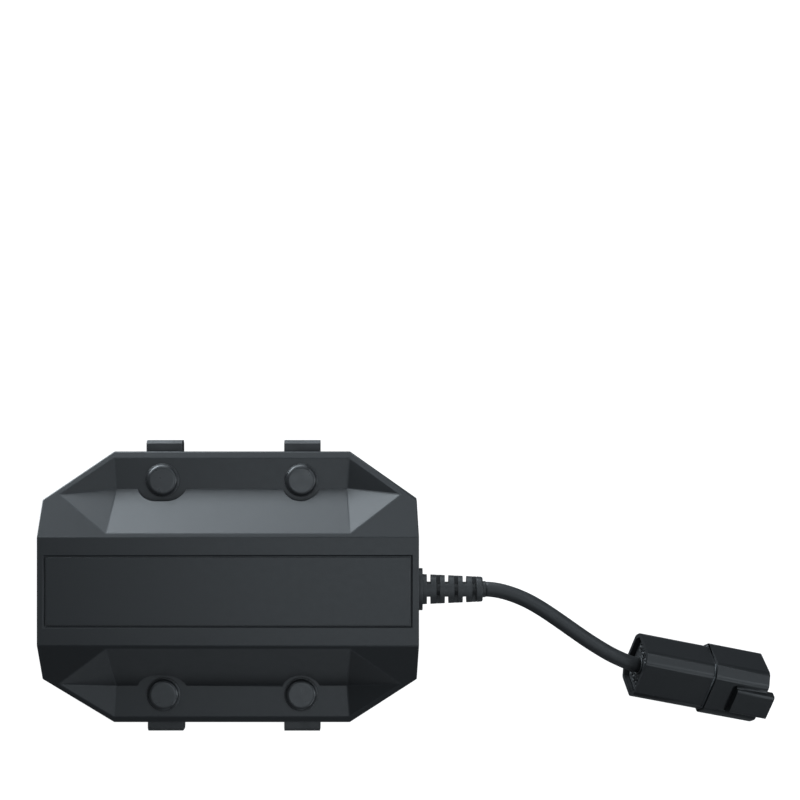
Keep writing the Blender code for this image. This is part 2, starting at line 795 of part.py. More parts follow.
def smooth_route(route, spacing):
    """Even points along a smooth curve through the route's points."""
    knots = [Vector(point) for point in route]
    ends = [knots[0] * 2 - knots[1]] + knots + [knots[-1] * 2 - knots[-2]]
    dense = []
    for i in range(1, len(ends) - 2):
        p0, p1, p2, p3 = ends[i - 1:i + 3]
        for step in range(20):
            t = step / 20
            a = -p0 + 3 * p1 - 3 * p2 + p3
            b = 2 * p0 - 5 * p1 + 4 * p2 - p3
            dense.append(0.5 * (a * t ** 3 + b * t ** 2 + (p2 - p0) * t + 2 * p1))
    dense.append(knots[-1])
    lengths = [0.0]
    for before, after in zip(dense, dense[1:]):
        lengths.append(lengths[-1] + (after - before).length)
    count = max(2, round(lengths[-1] / spacing))
    points = []
    for step in range(count + 1):
        wanted = lengths[-1] * step / count
        i = max(j for j in range(len(lengths) - 1) if lengths[j] <= wanted)
        part = (wanted - lengths[i]) / (lengths[i + 1] - lengths[i])
        points.append(dense[i].lerp(dense[i + 1], min(part, 1.0)))
    return points


def make_tube(name, points, diameter, finish, resolution):
    """Round tube with closed ends along the points."""
    curve = bpy.data.curves.new(name, "CURVE")
    curve.dimensions = "3D"
    curve.bevel_depth = diameter / 2 * MM
    curve.bevel_resolution = resolution
    curve.use_fill_caps = True
    spline = curve.splines.new("POLY")
    spline.points.add(len(points) - 1)
    for knot, point in zip(spline.points, points):
        knot.co = (point[0] * MM, point[1] * MM, point[2] * MM, 1.0)
    spline.use_smooth = True
    tube = bpy.data.objects.new(name, curve)
    MODEL.objects.link(tube)
    curve.materials.append(finish)
    return tube


def make_strain_relief():
    """Stub through the end wall, flange outside it, and a tapered boot with staggered slots."""
    frame = bpy.data.objects.new("gland_frame", None)
    MODEL.objects.link(frame)
    frame.location = (0.0, 0.0, GLAND_Z * MM)
    frame.rotation_euler = (0.0, math.pi / 2, 0.0)
    points = [
        (0.0, BOOT_END_X),
        (BOOT_END_RADIUS - BOOT_EDGE, BOOT_END_X),
        (BOOT_END_RADIUS, BOOT_END_X - BOOT_EDGE),
        (BOOT_RADIUS, BOOT_X),
        (FLANGE_RADIUS - 0.2, BOOT_X),
        (FLANGE_RADIUS, BOOT_X - 0.2),
        (FLANGE_RADIUS, FLANGE_X),
        (STUB_RADIUS, FLANGE_X),
        (STUB_RADIUS, STUB_X),
        (0.0, STUB_X),
    ]
    relief = add("strain_relief", profile("strain_relief", points), rubber(), frame)
    turned(relief, 24)
    reach = BOOT_RADIUS + 1
    for index in range(3):
        for side in (-1, 1):
            near, far = sorted((side * BOOT_CORE, side * reach))
            start = BOOT_X + SLOT_START + SLOT_PITCH * index
            slot = box("boot_slot", (-reach, near, start), (reach, far, start + SLOT_WIDTH))
            combine(relief, cutter("boot_slot", slot, frame))
            start += SLOT_STAGGER
            slot = box("boot_slot", (near, -reach, start), (far, reach, start + SLOT_WIDTH))
            combine(relief, cutter("boot_slot", slot, frame))

    low, high = STUB_X + 0.4, CAVITY_X - GAP
    outline = []
    for corner in range(6):
        angle = math.radians(60 * corner)
        outline.append((NUT_RADIUS * math.cos(angle), NUT_RADIUS * math.sin(angle)))
    nut = add("gland_nut", plate("gland_nut", [outline], low, high), zinc_steel(), frame)
    bore = cylinder("nut_bore", STUB_RADIUS + GAP, low - 1, high + 1)
    combine(nut, cutter("nut_bore", bore, frame))


# ---------------------------------------------------------------- connector

def connector_frame():
    """Empty at the middle of the shell's rear face, X along the shell."""
    frame = bpy.data.objects.new("connector_frame", None)
    MODEL.objects.link(frame)
    heading = Matrix.Rotation(math.radians(CONNECTOR_YAW), 4, "Z")
    tilt = Matrix.Rotation(math.radians(CONNECTOR_TILT), 4, "Y")
    roll = Matrix.Rotation(math.radians(CONNECTOR_ROLL), 4, "X")
    place = Matrix.Translation([value * MM for value in CONNECTOR_PLACE])
    frame.matrix_world = place @ heading @ tilt @ roll
    return frame


def shell_section(name, start, end, offset=0.0):
    """Octagonal prism along X, its section grown by an offset."""
    half_w = REAR_WIDTH / 2 + offset
    half_n = REAR_HEIGHT / 2 + offset
    chamfer = REAR_CHAMFER + offset * (2 - math.sqrt(2))
    outline = octagon(half_w, half_n, half_w - chamfer, half_n - chamfer)
    along = Matrix.Rotation(math.pi / 2, 4, "Z") @ Matrix.Rotation(math.pi / 2, 4, "X")
    return plate(name, [outline], start, end, along)


def contact_places():
    return [(w, n) for w in (-CONTACT_W, CONTACT_W) for n in (-CONTACT_N, 0.0, CONTACT_N)]


def make_connector_shell(frame):
    shell = add("connector_shell", shell_section("connector_shell", 0.0, SHELL_STEP + 1.0),
                shell_plastic(), frame)
    front = shell_section("front_shell", SHELL_STEP, SHELL_LENGTH, FRONT_GROWTH)
    combine(shell, cutter("front_shell", front, frame), "UNION")
    face = REAR_HEIGHT / 2 + FRONT_GROWTH
    low_w = CATCH_SHIFT - CATCH_WIDTH / 2
    high_w = CATCH_SHIFT + CATCH_WIDTH / 2
    catch = box("catch", (CATCH_START, low_w, face - 1.0), (CATCH_END, high_w, face + CATCH_HEIGHT))
    combine(shell, cutter("catch", catch, frame), "UNION")
    undercut = box("undercut", (CATCH_START - UNDERCUT, low_w, face - 0.8),
                   (CATCH_START, high_w, face + 1))
    combine(shell, cutter("undercut", undercut, frame))
    recess = shell_section("rear_recess", -1.0, SEAL_BACK + GAP, -REAR_WALL)
    combine(shell, cutter("rear_recess", recess, frame))
    socket = shell_section("socket", SOCKET_FLOOR, SHELL_LENGTH + 4.0, FRONT_GROWTH - FRONT_WALL)
    combine(shell, cutter("socket", socket, frame))
    for place in contact_places():
        hole = cylinder("contact_hole", PIN_RADIUS + GAP, SEAL_BACK - 1, SOCKET_FLOOR + 1, place,
                        12, "X")
        combine(shell, cutter("contact_hole", hole, frame))


def make_rear_seal(frame):
    seal = add("rear_seal", shell_section("rear_seal", SEAL_FACE, SEAL_BACK, -REAR_WALL - GAP),
               rubber(), frame)
    for place in contact_places():
        cavity = cylinder("seal_cavity", CAVITY_RADIUS, SEAL_FACE - 1, SEAL_FACE + CAVITY_DEPTH, place,
                          16, "X")
        combine(seal, cutter("seal_cavity", cavity, frame))


def make_wedge_lock(frame):
    """Tongue between the two rows of pins, with a slot for a puller's hook."""
    foot = SOCKET_FLOOR + GAP
    outline = [(foot, -WEDGE_HALF), (WEDGE_END - WEDGE_EDGE, -WEDGE_HALF),
               (WEDGE_END, WEDGE_EDGE - WEDGE_HALF), (WEDGE_END, WEDGE_HALF - WEDGE_EDGE),
               (WEDGE_END - WEDGE_EDGE, WEDGE_HALF), (foot, WEDGE_HALF)]
    upright = Matrix.Rotation(math.pi / 2, 4, "X")
    mesh = plate("wedge_lock", [outline], -WEDGE_THICKNESS / 2, WEDGE_THICKNESS / 2, upright)
    wedge = add("wedge_lock", mesh, wedge_orange(), frame)
    slot = box("puller_slot", (WEDGE_END - PULLER_SLOT, -PULLER_HALF, -3.0),
               (WEDGE_END + 1, PULLER_HALF, 3.0))
    combine(wedge, cutter("puller_slot", slot, frame))


def make_pins(frame):
    start = SEAL_BACK + 2 * GAP
    upright = Matrix.Rotation(math.pi / 2, 4, "Y")
    points = [(0.0, PIN_TIP), (PIN_RADIUS * 0.5, PIN_TIP), (PIN_RADIUS, PIN_TIP - PIN_POINT),
              (PIN_RADIUS, start), (0.0, start)]
    for index, (w, n) in enumerate(contact_places()):
        pin = add("pin_%d" % (index + 1), profile("pin", points), copper(), frame)
        pin.matrix_local = Matrix.Translation((0.0, w * MM, n * MM)) @ upright
        turned(pin, 10)


# ---------------------------------------------------------------- assembly

def main():
    clear_scene()
    make_top_cover()
    make_label_plate()
    make_base_tray()
    make_perimeter_seal()
    for label, end, side, shift in fix_places():
        make_clip_nut(label, end, side, shift)
    make_screws()
    make_circuit_board()
    make_board_parts()
    make_leads()
    make_strain_relief()
    make_tube("cable", smooth_route(CABLE_ROUTE, CABLE_STEP), CABLE_DIAMETER, rubber(), 2)
    frame = connector_frame()
    make_connector_shell(frame)
    make_rear_seal(frame)
    make_wedge_lock(frame)
    make_pins(frame)


main()
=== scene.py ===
"""Brake controller unit: the looks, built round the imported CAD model.

Everything is in metres, in the CAD model's frame: the housing lies flat with its middle over
the origin, +X towards the cable, +Z up. MM turns millimetres into metres.
"""
import json
import math

import bmesh
import bpy
from mathutils import Matrix, Vector


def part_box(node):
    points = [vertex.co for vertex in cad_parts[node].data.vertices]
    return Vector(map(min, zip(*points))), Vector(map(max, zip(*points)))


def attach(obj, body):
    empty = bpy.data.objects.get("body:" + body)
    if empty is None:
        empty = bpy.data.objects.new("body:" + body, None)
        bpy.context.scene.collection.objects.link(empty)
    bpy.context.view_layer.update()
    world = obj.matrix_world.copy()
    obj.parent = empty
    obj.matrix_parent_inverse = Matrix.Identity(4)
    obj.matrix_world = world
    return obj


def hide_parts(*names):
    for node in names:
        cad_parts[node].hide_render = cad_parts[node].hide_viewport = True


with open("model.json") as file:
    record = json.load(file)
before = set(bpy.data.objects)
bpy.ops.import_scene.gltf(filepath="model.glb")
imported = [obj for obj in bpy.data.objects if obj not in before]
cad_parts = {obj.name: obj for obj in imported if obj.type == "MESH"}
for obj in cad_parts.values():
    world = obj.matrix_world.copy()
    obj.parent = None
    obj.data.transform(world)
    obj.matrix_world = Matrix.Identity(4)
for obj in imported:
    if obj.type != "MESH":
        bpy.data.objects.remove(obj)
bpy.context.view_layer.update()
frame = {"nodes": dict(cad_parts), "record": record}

MM = 0.001
NODES = frame["nodes"]
RECORD = frame["record"]
UNIT = "unit"
WEDGE = "wedge"

# Camera: looks straight down from over the right rear of the unit
CAMERA_PLACE = (54.2 * MM, 60.3 * MM, 711.2 * MM)
CAMERA_LENS = 97.65

# Square softboxes in rows: name, elevation, strength, and the azimuth of each box, in degrees
LIGHT_AIM = (0.04, 0.0, 0.01)
LIGHT_TINT = (0.9, 1.0, 1.08)
FAR_DISTANCE = 1.2
FAR_SIZE = 0.5
FAR_ROWS = (
    ("ground", -8, 4.0, (90,)),
    ("ground", -8, 6.0, (110,)),
    ("ground", -8, 0.5, (270,)),
    ("rim", 12, 3.0, (0,)),
    ("fill", 38, 2.0, (90, 315)),
)
NEAR_DISTANCE = 0.5
NEAR_SIZE = 0.22
NEAR_ROWS = (
    ("side", 38, 2.0, (0, 45, 135)),
    ("top", 90, 2.0, (0,)),
    ("soft", 64, 0.5, (0, 270)),
)
KEY_ROW = ("key", -8, 12.0, (135,))
KEY_SIZE = 0.3

# Cable, with points along its middle in millimetres
CABLE_DIAMETER = 4.8 * MM
CABLE_ROUTE = (
    (81.15, 0.0, 19.3),
    (83.2, -0.1, 19.3),
    (85.6, -0.45, 19.4),
    (88.4, -1.15, 19.5),
    (91.6, -2.25, 19.7),
    (95.0, -3.75, 20.0),
    (98.6, -5.75, 20.4),
    (102.2, -8.05, 20.9),
    (106.0, -10.65, 21.4),
    (109.8, -13.3, 21.9),
    (113.6, -15.9, 22.3),
    (117.4, -18.3, 22.5),
    (121.0, -20.4, 22.4),
    (124.4, -22.05, 22.05),
    (127.3, -23.3, 21.5),
    (129.75, -23.98, 20.88),
)

# Edges: turns in degrees between the faces, and the length from which slight ones are rounded
FLAT_TURN = 0.6
SLIGHT_TURN = 2
SHARP_TURN = 28
CREASE_LENGTH = 9 * MM
# Face mark on rounded edges; the materials lighten those edges with it, as wear and a painted
# highlight
EDGE_MARK = "edge"
SUPPORT_REACH = 0.07 * MM

# Cover
COVER_EDGE = 0.28 * MM
COVER_WEAR_AND_HIGHLIGHT = 0.4
SCOOP_EDGE = 0.06 * MM

# Strain relief, along X
GLAND_Z = 19.3 * MM
WALL_X = 60.2 * MM
FLANGE_RADIUS = 6.7 * MM
BOOT_X = 61.4 * MM
BOOT_END_X = 80.5 * MM
BOOT_LIP_X = 81.45 * MM
BOOT_LIP_RADIUS = 2.58 * MM
BOOT_RADIUS = 4.8 * MM
BOOT_END_RADIUS = 3.95 * MM
BOOT_CORE = 2.07 * MM
WEB_HALF = 0.9 * MM
SLOT_START = 1.35 * MM
SLOT_WIDTH = 1.15 * MM
SLOT_PITCH = 5.7 * MM
SLOT_STAGGER = 3.0 * MM
SLOT_PAIRS = 3
WEB_INSET = 0.04 * MM
WEB_OVERLAP = 0.1 * MM
FLANGE_EDGE = 0.2 * MM
BOOT_EDGE = 0.5 * MM
RIB_EDGE = 0.07 * MM

# Barrel caps
CAP_RADIUS = 5.0 * MM
CAP_EDGE = 1.25 * MM
CAP_SHOULDER = 0.2 * MM
BRIM_RADIUS = 5.4 * MM
BRIM_HEIGHT = 0.4 * MM
BRIM_EDGE = 0.15 * MM

# Connector: X along the shell from its rear face, Z out of the catch's face
CONNECTOR_PLACE = (128.9, -23.8, 21.1)
CONNECTOR_YAW = -12.2
CONNECTOR_TILT = 13.8
CONNECTOR_ROLL = 25.6
SHELL_LENGTH = 41.9 * MM
SHELL_STEP = 23.7 * MM
LONG_CORNER = 10 * MM
REAR_WIDTH = 17.4 * MM
REAR_HEIGHT = 16.1 * MM
REAR_CHAMFER = 2.7 * MM
SEAL_FACE = 1.6 * MM
CONTACT_W = 4.5 * MM
CONTACT_N = 3.5 * MM
CAVITY_RADIUS = 1.25 * MM
SHELL_CORNER = 0.9 * MM
FRONT_EDGE = 1.1 * MM
CATCH_EDGE = 0.6 * MM
CATCH_RISE = 1.3 * MM
CATCH_HIGHLIGHT = 0.2
SHELL_EDGE = 0.22 * MM
BEAD_RADIUS = 0.3 * MM
BEAD_SINK = 0.05 * MM
BEAD_SETBACK = 0.25 * MM
BEAD_HIGHLIGHT = 0.6
LIP_WIDTH = 0.35 * MM
LIP_RADIUS = 0.3 * MM
LIP_ROOT = 0.4 * MM
LIP_WELL = 0.6 * MM
PLUG_RADIUS = 0.8 * MM
PLUG_ROOT = 1.5 * MM
COLLAR_RADIUS = 2.85 * MM
COLLAR_RISE = 0.5 * MM
COLLAR_EDGE = 0.2 * MM


# ---------------------------------------------------------------- camera, floor and lights

def make_camera():
    data = bpy.data.cameras.new("camera")
    data.lens = CAMERA_LENS
    data.sensor_width = 36.0
    data.clip_start = 0.01
    data.clip_end = 20.0
    camera = bpy.data.objects.new("camera", data)
    bpy.context.scene.collection.objects.link(camera)
    camera.location = CAMERA_PLACE
    bpy.context.scene.camera = camera


def make_floor():
    """White floor that glows, and lets the low lights through as a bright table would."""
    bpy.ops.mesh.primitive_plane_add(size=6.0, location=(0.0, 0.0, -0.2 * MM))
    floor = bpy.context.object
    floor.name = "floor"
    paint = bpy.data.materials.new("floor")
    paint.use_nodes = True
    shader = paint.node_tree.nodes["Principled BSDF"]
    shader.inputs["Base Color"].default_value = (0.3, 0.3, 0.3, 1.0)
    shader.inputs["Roughness"].default_value = 0.9
    shader.inputs["Specular IOR Level"].default_value = 0.1
    shader.inputs["Emission Color"].default_value = (1.0, 1.0, 1.0, 1.0)
    shader.inputs["Emission Strength"].default_value = 0.95
    floor.data.materials.append(paint)
    floor.visible_glossy = False
    floor.visible_diffuse = False
    floor.visible_shadow = False


def make_light(name, azimuth, elevation, strength, distance, size):
    """Softbox facing the unit from a direction in degrees; strength is its radiance."""
    data = bpy.data.lights.new(name, "AREA")
    data.shape = "SQUARE"
    data.size = size
    data.energy = strength * math.pi * size ** 2
    data.color = LIGHT_TINT
    light = bpy.data.objects.new(name, data)
    bpy.context.scene.collection.objects.link(light)
    turn = Matrix.Rotation(math.radians(azimuth), 3, "Z")
    rise = Matrix.Rotation(math.radians(-elevation), 3, "Y")
    towards = turn @ rise @ Vector((1.0, 0.0, 0.0))
    light.location = Vector(LIGHT_AIM) + towards * distance
    light.rotation_euler = towards.to_track_quat("Z", "Y").to_euler()


def make_lights(rows, distance, size):
    for name, elevation, strength, azimuths in rows:
        for azimuth in azimuths:
            make_light("%s_%d" % (name, azimuth), azimuth, elevation, strength, distance, size)


def make_world():
    """Dim surroundings that show pale behind the floor."""
    world = bpy.data.worlds.new("surroundings")
    world.use_nodes = True
    nodes = world.node_tree.nodes
    links = world.node_tree.links
    glow = nodes["Background"]
    glow.inputs["Color"].default_value = (0.10, 0.11, 0.12, 1.0)
    pale = nodes.new("ShaderNodeBackground")
    pale.inputs["Color"].default_value = (1.0, 1.0, 1.0, 1.0)
    path = nodes.new("ShaderNodeLightPath")
    mix = nodes.new("ShaderNodeMixShader")
    links.new(path.outputs["Is Camera Ray"], mix.inputs["Fac"])
    links.new(glow.outputs["Background"], mix.inputs[1])
    links.new(pale.outputs["Background"], mix.inputs[2])
    links.new(mix.outputs["Shader"], nodes["World Output"].inputs["Surface"])
    bpy.context.scene.world = world
    bpy.context.scene.view_settings.view_transform = "Standard"


def make_studio():
    make_camera()
    make_floor()
    make_world()
    make_lights(FAR_ROWS, FAR_DISTANCE, FAR_SIZE)
    make_lights(NEAR_ROWS, NEAR_DISTANCE, NEAR_SIZE)
    make_lights([KEY_ROW], NEAR_DISTANCE, KEY_SIZE)


# ---------------------------------------------------------------- materials

class Surface:
    """A Principled material built up a few nodes at a time."""

    def __init__(self, name, colour, roughness, metallic=0.0):
        self.material = bpy.data.materials.new(name)
        self.material.use_nodes = True
        self.nodes = self.material.node_tree.nodes
        self.links = self.material.node_tree.links
        self.shader = self.nodes["Principled BSDF"]
        self.shader.inputs["Metallic"].default_value = metallic
        self.place = self.nodes.new("ShaderNodeTexCoord").outputs["Object"]
        self.colour = (*colour, 1.0)
        self.roughness = roughness
        self.normal = None

    def feed(self, value, socket):
        """Links an output to a socket, or sets the socket to a plain value."""
        if isinstance(value, bpy.types.NodeSocket):
            self.links.new(value, socket)
        else:
            socket.default_value = value

    def noise(self, size, detail=3.0, stretch=None):
        """Noise whose grains measure about size, in metres."""
        node = self.nodes.new("ShaderNodeTexNoise")
        node.inputs["Scale"].default_value = 1.0 / size
        node.inputs["Detail"].default_value = detail
        source = self.place
        if stretch:
            mapping = self.nodes.new("ShaderNodeMapping")
            mapping.inputs["Scale"].default_value = stretch
            self.links.new(source, mapping.inputs["Vector"])
            source = mapping.outputs["Vector"]
        self.links.new(source, node.inputs["Vector"])
        return node.outputs["Fac"]

    def ramp(self, source, low, high, start=0.0, end=1.0):
        """Source between low and high, spread from start to end."""
        node = self.nodes.new("ShaderNodeMapRange")
        node.inputs["From Min"].default_value = low
        node.inputs["From Max"].default_value = high
        node.inputs["To Min"].default_value = start
        node.inputs["To Max"].default_value = end
        self.links.new(source, node.inputs["Value"])
        return node.outputs["Result"]

    def tint(self, mask, colour):
        """Mixes a second colour in where the mask is white."""
        node = self.nodes.new("ShaderNodeMix")
        node.data_type = "RGBA"
        factor, _, _, _, _, _, first, second = node.inputs[:8]
        self.links.new(mask, factor)
        self.feed(self.colour, first)
        second.default_value = (*colour, 1.0)
        self.colour = node.outputs[2]

    def roughen(self, mask):
        """Adds the mask to the roughness."""
        node = self.nodes.new("ShaderNodeMath")
        node.operation = "ADD"
        self.feed(self.roughness, node.inputs[0])
        self.links.new(mask, node.inputs[1])
        self.roughness = node.outputs[0]

    def bump(self, height, depth, strength=1.0):
        """Relief of the given depth, in metres."""
        node = self.nodes.new("ShaderNodeBump")
        node.inputs["Distance"].default_value = depth
        node.inputs["Strength"].default_value = strength
        self.links.new(height, node.inputs["Height"])
        if self.normal is not None:
            self.links.new(self.normal, node.inputs["Normal"])
        self.normal = node.outputs["Normal"]

    def wear_and_highlight_edges(self, least, most):
        """Mask that is white along rounded edges, more in some places than in others; where it
        lightens edges, it stands for wear and a painted highlight.
        """
        edges = self.nodes.new("ShaderNodeAttribute")
        edges.attribute_name = EDGE_MARK
        patches = self.ramp(self.noise(3 * MM, 4.0), 0.35, 0.65, least, most)
        node = self.nodes.new("ShaderNodeMath")
        node.operation = "MULTIPLY"
        self.links.new(edges.outputs["Fac"], node.inputs[0])
        self.links.new(patches, node.inputs[1])
        return node.outputs[0]

    def done(self):
        self.feed(self.colour, self.shader.inputs["Base Color"])
        self.feed(self.roughness, self.shader.inputs["Roughness"])
        if self.normal is not None:
            self.links.new(self.normal, self.shader.inputs["Normal"])
        return self.material


def scaled(colour, factor):
    return [value * factor for value in colour]


def moulded(name, colour, roughness, wear_and_highlight=2.5, grain=0.45 * MM, depth=0.008 * MM):
    """Moulded plastic: fine eroded texture, faint flow marks, and edges lightened by light wear and a
    painted highlight.
    """
    surface = Surface(name, colour, roughness)
    surface.tint(surface.ramp(surface.noise(25 * MM, 3.0), 0.3, 0.7, 0.0, 0.6),
                 scaled(colour, 1.12))
    surface.tint(surface.ramp(surface.noise(0.7 * MM, 3.0), 0.45, 0.75, 0.0, 0.5),
                 scaled(colour, 1.25))
    # Rounded edges lightened by the edge factor: wear plus a painted highlight
    surface.tint(surface.wear_and_highlight_edges(0.6, 1.0), scaled(colour, wear_and_highlight))
    surface.roughen(surface.ramp(surface.noise(2 * MM, 5.0), 0.3, 0.7, -0.015, 0.02))
    surface.bump(surface.noise(grain, 2.0), depth)
    return surface.done()


def rubbery(name, colour, roughness):
    """Moulded rubber: matt, with a soft grain and pale dust."""
    surface = Surface(name, colour, roughness)
    dust = surface.noise(3 * MM, 6.0)
    surface.tint(surface.ramp(dust, 0.5, 0.8, 0.0, 0.35), scaled(colour, 1.8))
    surface.roughen(surface.ramp(dust, 0.3, 0.7, -0.05, 0.06))
    surface.bump(surface.noise(0.3 * MM, 3.0), 0.01 * MM)
    return surface.done()


def metal(name, colour, roughness, scratch=(1.0, 14.0, 14.0)):
    """Metal with fine drawn scratches and dull patches."""
    surface = Surface(name, colour, roughness, 1.0)
    surface.tint(surface.ramp(surface.noise(4 * MM, 4.0), 0.4, 0.75, 0.0, 0.4),
                 scaled(colour, 0.7))
    lines = surface.noise(1.5 * MM, 5.0, scratch)
    surface.roughen(surface.ramp(lines, 0.3, 0.7, -0.08, 0.10))
    surface.bump(lines, 0.004 * MM)
    return surface.done()


def coated(name, colour, roughness):
    """Black coated steel: a thin film with orange peel, lightened to grey on the edges by wear and a
    painted highlight.
    """
    surface = Surface(name, colour, roughness)
    # Grey on the rounded edges: wear plus a painted highlight
    surface.tint(surface.wear_and_highlight_edges(0.3, 1.0), (0.05, 0.05, 0.05))
    surface.roughen(surface.ramp(surface.noise(5 * MM, 5.0), 0.3, 0.7, -0.05, 0.08))
    surface.bump(surface.noise(0.9 * MM, 2.0), 0.01 * MM)
    return surface.done()


def board(name):
    """Solder mask over copper tracks."""
    surface = Surface(name, (0.012, 0.075, 0.03), 0.4)
    brick = surface.nodes.new("ShaderNodeTexBrick")
    brick.inputs["Scale"].default_value = 1.0 / (9 * MM)
    brick.inputs["Mortar Size"].default_value = 0.06
    surface.links.new(surface.place, brick.inputs["Vector"])
    surface.tint(surface.ramp(brick.outputs["Fac"], 0.0, 1.0), (0.03, 0.16, 0.06))
    surface.bump(brick.outputs["Fac"], 0.03 * MM)
    surface.roughen(surface.ramp(surface.noise(2 * MM), 0.3, 0.7, -0.03, 0.05))
    return surface.done()


def make_finishes():
    """One material for each slot of the record."""
    return {
        "moulding": moulded("moulding", (0.0105, 0.0115, 0.0125), 0.40),
        "rubber": rubbery("rubber", (0.017, 0.018, 0.019), 0.5),
        "boot_rubber": rubbery("boot_rubber", (0.024, 0.025, 0.026), 0.5),
        "cap_rubber": rubbery("cap_rubber", (0.022, 0.023, 0.024), 0.3),
        "coated_steel": coated("coated_steel", (0.018, 0.019, 0.02), 0.42),
        # The shell's edges are lightened nine times over: a painted highlight, the bright lines along
        # its rims
        "shell_plastic": moulded("shell_plastic", (0.009, 0.0098, 0.0105), 0.36, 9.0),
        "zinc_steel": metal("zinc_steel", (0.55, 0.55, 0.53), 0.35),
        "copper": metal("copper", (0.72, 0.42, 0.25), 0.33),
        "board_green": board("board_green"),
        "chip_black": moulded("chip_black", (0.012, 0.012, 0.013), 0.5),
        "aluminium": metal("aluminium", (0.6, 0.61, 0.62), 0.4),
        "insulation": rubbery("insulation", (0.35, 0.05, 0.04), 0.45),
        "wedge_orange": moulded("wedge_orange", (0.45, 0.10, 0.02), 0.42, 1.2),
    }


FINISHES = make_finishes()
SLOT_OF = {row["node"]: row["material_slot"] for row in RECORD["subparts"]}


def dress_cad_nodes():
    for name, node in NODES.items():
        node.data.materials.clear()
        node.data.materials.append(FINISHES[SLOT_OF[name]])


# ---------------------------------------------------------------- pieces

def take_over(piece, *nodes):
    """The piece stands for CAD nodes, with their body and finish."""
    body = WEDGE if nodes[0] == "wedge_lock" else UNIT
    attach(piece, body)
    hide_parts(*nodes)
    piece.data.materials.clear()
    piece.data.materials.append(FINISHES[SLOT_OF[nodes[0]]])
    return piece


def new_piece(name, shape, *nodes):
    """Piece made from a bmesh, standing for CAD nodes."""
    mesh = bpy.data.meshes.new(name)
    bmesh.ops.recalc_face_normals(shape, faces=shape.faces)
    shape.to_mesh(mesh)
    shape.free()
    piece = bpy.data.objects.new(name, mesh)
    bpy.context.scene.collection.objects.link(piece)
    return take_over(piece, *nodes)


def turn_of(edge):
    """Angle, in degrees, between the faces of an edge."""
    return math.degrees(edge.calc_face_angle(0.0))


def is_real(edge):
    """Edges that are rounded; short slight ones belong to round walls instead."""
    turn = turn_of(edge)
    return turn > SHARP_TURN or (turn > SLIGHT_TURN and edge.calc_length() > CREASE_LENGTH)


def rounded(shape, edges, width, segments=3, wear_and_highlight=1.0):
    """Rounds some edges of a bmesh, shades the new faces smooth and marks how much they are
    lightened, for wear and a painted highlight.
    """
    result = bmesh.ops.bevel(shape, geom=edges, offset=width, offset_type="OFFSET",
                             segments=segments, profile=0.5, affect="EDGES",
                             clamp_overlap=True)
    mark = shape.faces.layers.float[EDGE_MARK]
    for face in result["faces"]:
        face.smooth = True
        face[mark] = wear_and_highlight


def clean_copy(node):
    """Bmesh of a CAD node with whole faces, where only round walls are shaded smooth."""
    shape = bmesh.new()
    shape.faces.layers.float.new(EDGE_MARK)
    shape.from_mesh(NODES[node].data)
    bmesh.ops.remove_doubles(shape, verts=shape.verts, dist=0.002 * MM)
    bmesh.ops.dissolve_limit(shape, angle_limit=math.radians(FLAT_TURN), verts=shape.verts,
                             edges=shape.edges)
    for face in shape.faces:
        face.smooth = any(turn_of(edge) > FLAT_TURN and not is_real(edge)
                          for edge in face.edges)
    return shape


def refined(node, width, segments=3):
    """Copy of a CAD node with its real edges rounded."""
    shape = clean_copy(node)
    rounded(shape, [edge for edge in shape.edges if is_real(edge)], width, segments)
    return new_piece(node + "_detail", shape, node)


def supported(profile):
    """Adds a ring near both ends of long straight runs, which keeps their shading flat."""
    points = profile[:1]
    for before, after in zip(profile, profile[1:]):
        length = math.dist(before, after)
        if length > 4 * SUPPORT_REACH:
            for part in (SUPPORT_REACH / length, 1 - SUPPORT_REACH / length):
                points.append(tuple(a + (b - a) * part for a, b in zip(before, after)))
        points.append(after)
    return points


def lathe(profile, segments=64):
    """Turned solid round Z from (radius, height) points that start and end on the axis."""
    shape = bmesh.new()
    rings = []
    for radius, height in supported(profile):
        count = segments if radius > 0 else 1
        ring = []
        for step in range(count):
            angle = 2 * math.pi * step / count
            ring.append(shape.verts.new((radius * math.cos(angle), radius * math.sin(angle), height)))
        rings.append(ring)
    for low, high in zip(rings, rings[1:]):
        for step in range(segments):
            after = step + 1
            corners = (low[step % len(low)], low[after % len(low)],
                       high[after % len(high)], high[step % len(high)])
            shape.faces.new(list(dict.fromkeys(corners))).smooth = True
    return shape


def arc(radius, height, size, start, end, steps=6):
    """Profile points round a centre at the given radius and height, angles in degrees."""
    points = []
    for step in range(steps + 1):
        angle = math.radians(start + (end - start) * step / steps)
        points.append((radius + size * math.cos(angle), height + size * math.sin(angle)))
    return points


def disc(low, high, low_radius, high_radius, edge):
    """Profile of a disc or a cone with rounded rims."""
    low_rim = arc(low_radius - edge, low + edge, edge, -90, 0, 4)
    high_rim = arc(high_radius - edge, high - edge, edge, 0, 90, 4)
    return [(0.0, low)] + low_rim + high_rim + [(0.0, high)]


def join(target, part, matrix=Matrix()):
    """Adds one bmesh, moved by a matrix, to another."""
    part.transform(matrix)
    mesh = bpy.data.meshes.new("part")
    part.to_mesh(mesh)
    part.free()
    target.from_mesh(mesh)
    bpy.data.meshes.remove(mesh)


